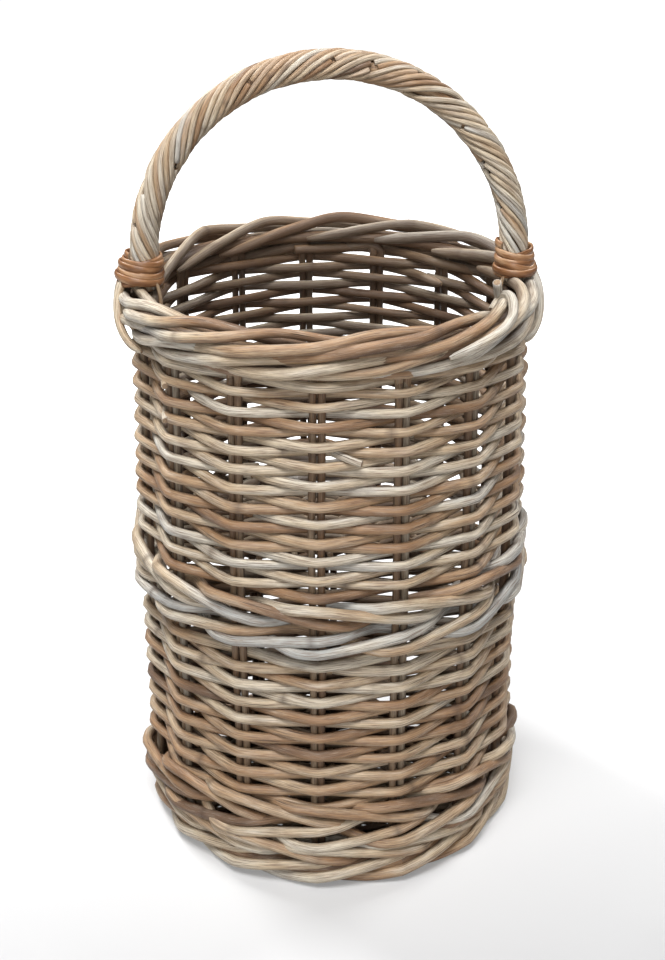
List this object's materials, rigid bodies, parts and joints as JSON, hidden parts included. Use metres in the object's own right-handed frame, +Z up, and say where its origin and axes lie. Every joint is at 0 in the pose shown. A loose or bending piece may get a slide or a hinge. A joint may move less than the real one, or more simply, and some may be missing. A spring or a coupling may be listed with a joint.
{
  "type": "stair basket",
  "caption": "Round two-level woven rattan basket with a bow handle, cut away below at the back so that it sits on two stairs.",
  "frame": {"origin": "on the lower floor, below the axis of the round upper wall", "axes": "+Z up, -Y towards the front, X along the handle"},
  "size_m": [0.3062, 0.295, 0.574],
  "materials": {
    "stake": "weathered rattan, matt",
    "weave": "grey-washed rattan core, matt",
    "wale": "grey-washed rattan core, matt",
    "border": "grey-washed rattan core, matt",
    "panel": "rattan rods, matt",
    "handle": "grey-washed rattan core, matt",
    "core": "bare rattan, matt",
    "cane": "glossy rattan skin"
  },
  "bodies": {
    "root": {"base_panel": "panel", "corner_stake_left": "stake", "corner_stake_right": "stake", "foot_ring": "wale", "foot_wale": "wale", "handle_binding_left": "cane", "handle_binding_right": "cane", "handle_core": "core", "handle_tail_left_inner": "core", "handle_tail_left_outer_1": "core", "handle_tail_left_outer_2": "core", "handle_tail_right_inner": "core", "handle_tail_right_outer_1": "core", "handle_tail_right_outer_2": "core", "handle_wrap": "handle", "lower_weaver_1": "weave", "lower_weaver_2": "weave", "lower_weaver_3": "weave", "lower_weaver_4": "weave", "mid_wale": "wale", "rim_border": "border", "riser_stake_1": "stake", "riser_stake_2": "stake", "riser_stake_3": "stake", "stake_01": "stake", "stake_02": "stake", "stake_03": "stake", "stake_04": "stake", "stake_05": "stake", "stake_06": "stake", "stake_07": "stake", "stake_08": "stake", "stake_09": "stake", "stake_10": "stake", "stake_11": "stake", "stake_12": "stake", "stake_13": "stake", "stake_14": "stake", "stake_15": "stake", "step_shelf": "panel", "upper_weaver_1": "weave", "upper_weaver_2": "weave", "upper_weaver_3": "weave", "upper_weaver_4": "weave", "upper_weaver_5": "weave"}
  },
  "joints": []
}
